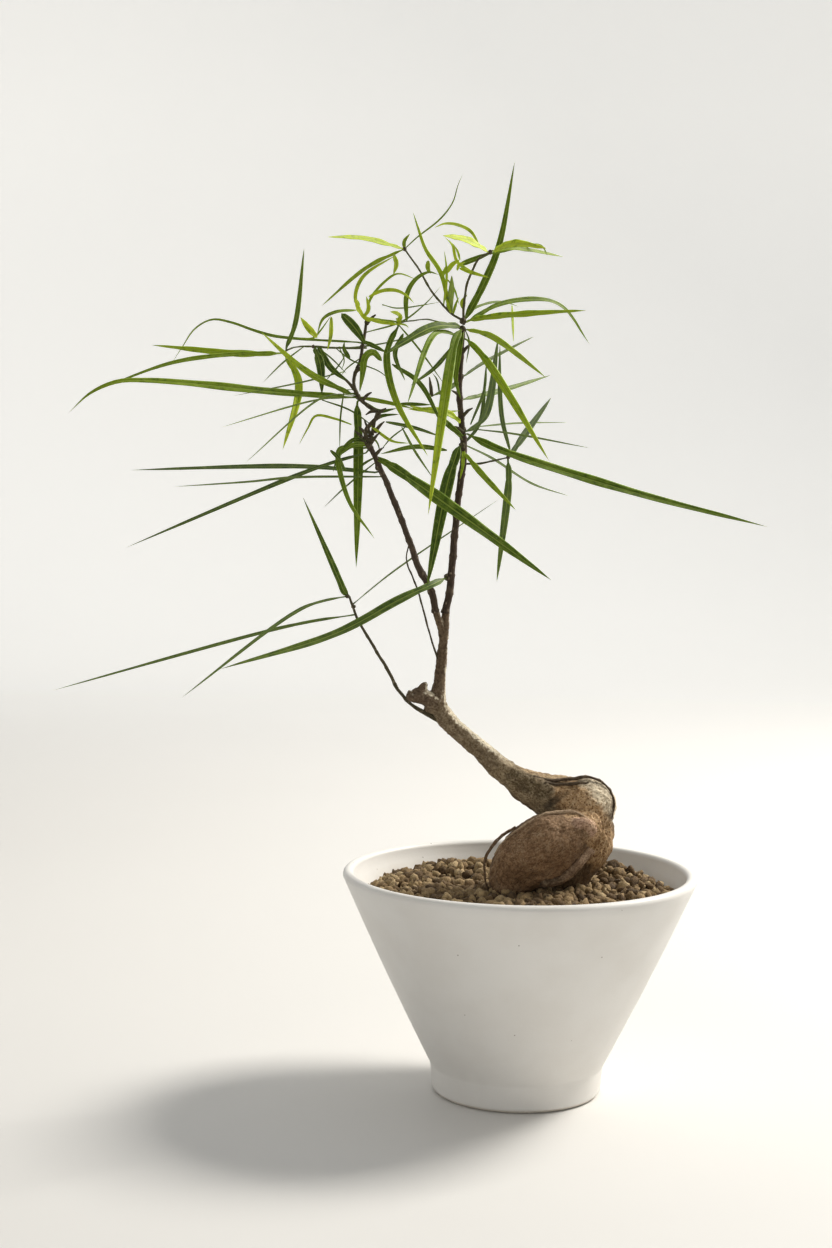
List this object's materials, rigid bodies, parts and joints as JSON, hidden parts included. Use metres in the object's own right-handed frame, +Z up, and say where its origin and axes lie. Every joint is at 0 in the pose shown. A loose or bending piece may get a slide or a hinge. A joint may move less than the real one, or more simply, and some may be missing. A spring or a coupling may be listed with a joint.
{
  "type": "potted bonsai tree",
  "caption": "Small leaning bonsai with a fat folded root, two thin branches and long narrow leaves, growing in granular soil in a white footed ceramic pot.",
  "frame": {"origin": "centre of the pot's flat underside, on the surface that it stands on", "axes": "+Z up; the tree leans towards -X; the front, where the root folds across the trunk, faces -Y"},
  "size_m": [0.27, 0.135, 0.357],
  "materials": {
    "white_ceramic": "satin",
    "screen_plastic": "matte",
    "soil_grains": "matte",
    "old_bark": "matte",
    "young_bark": "matte",
    "mature_leaf": "satin",
    "young_leaf": "satin"
  },
  "bodies": {
    "root": {"branch_left": "young_bark", "branch_right": "young_bark", "drainage_screen": "screen_plastic", "leaf_crown_front_bright": "young_leaf", "leaf_crown_left_arch": "mature_leaf", "leaf_crown_left_down": "mature_leaf", "leaf_crown_left_fold": "mature_leaf", "leaf_crown_right_arch": "young_leaf", "leaf_crown_right_down": "young_leaf", "leaf_crown_right_level": "young_leaf", "leaf_crown_right_steep": "young_leaf", "leaf_crown_top": "mature_leaf", "leaf_far_left_arch": "mature_leaf", "leaf_far_left_down": "mature_leaf", "leaf_far_left_hanging": "young_leaf", "leaf_far_left_up": "mature_leaf", "leaf_far_left_upright": "mature_leaf", "leaf_leader_back_fine": "mature_leaf", "leaf_leader_back_level": "mature_leaf", "leaf_leader_broad_dark": "mature_leaf", "leaf_leader_grey_up": "mature_leaf", "leaf_leader_left_pale": "young_leaf", "leaf_leader_left_sweep": "mature_leaf", "leaf_leader_olive_down": "young_leaf", "leaf_leader_right_long": "mature_leaf", "leaf_left_big_diagonal": "mature_leaf", "leaf_left_dark_hanging": "mature_leaf", "leaf_left_hooked": "mature_leaf", "leaf_left_level": "mature_leaf", "leaf_left_long": "mature_leaf", "leaf_left_low_arch": "mature_leaf", "leaf_left_low_fine": "mature_leaf", "leaf_left_slanting": "mature_leaf", "leaf_left_vertical": "mature_leaf", "leaf_left_yellow_back": "young_leaf", "leaf_low_left_long": "mature_leaf", "leaf_low_left_mid": "mature_leaf", "leaf_low_long_fine": "mature_leaf", "leaf_low_upright": "mature_leaf", "leaf_side_grey_up": "mature_leaf", "leaf_side_hanging": "mature_leaf", "leaf_tip_left_droop": "young_leaf", "leaf_tip_left_level": "young_leaf", "leaf_top_fine_right": "mature_leaf", "leaf_top_yellow_left": "young_leaf", "leaf_top_yellow_right": "young_leaf", "pot": "white_ceramic", "root_arc_left": "old_bark", "root_over_knee": "old_bark", "root_under_lobe": "old_bark", "soil": "soil_grains", "thin_shoot": "young_bark", "trunk_and_root": "old_bark", "twig_far_left": "young_bark", "twig_low": "young_bark", "twig_side": "young_bark", "twig_thin_left": "young_bark", "twig_top_left": "young_bark", "twig_top_right": "young_bark", "twig_upper_left": "young_bark"}
  },
  "joints": []
}
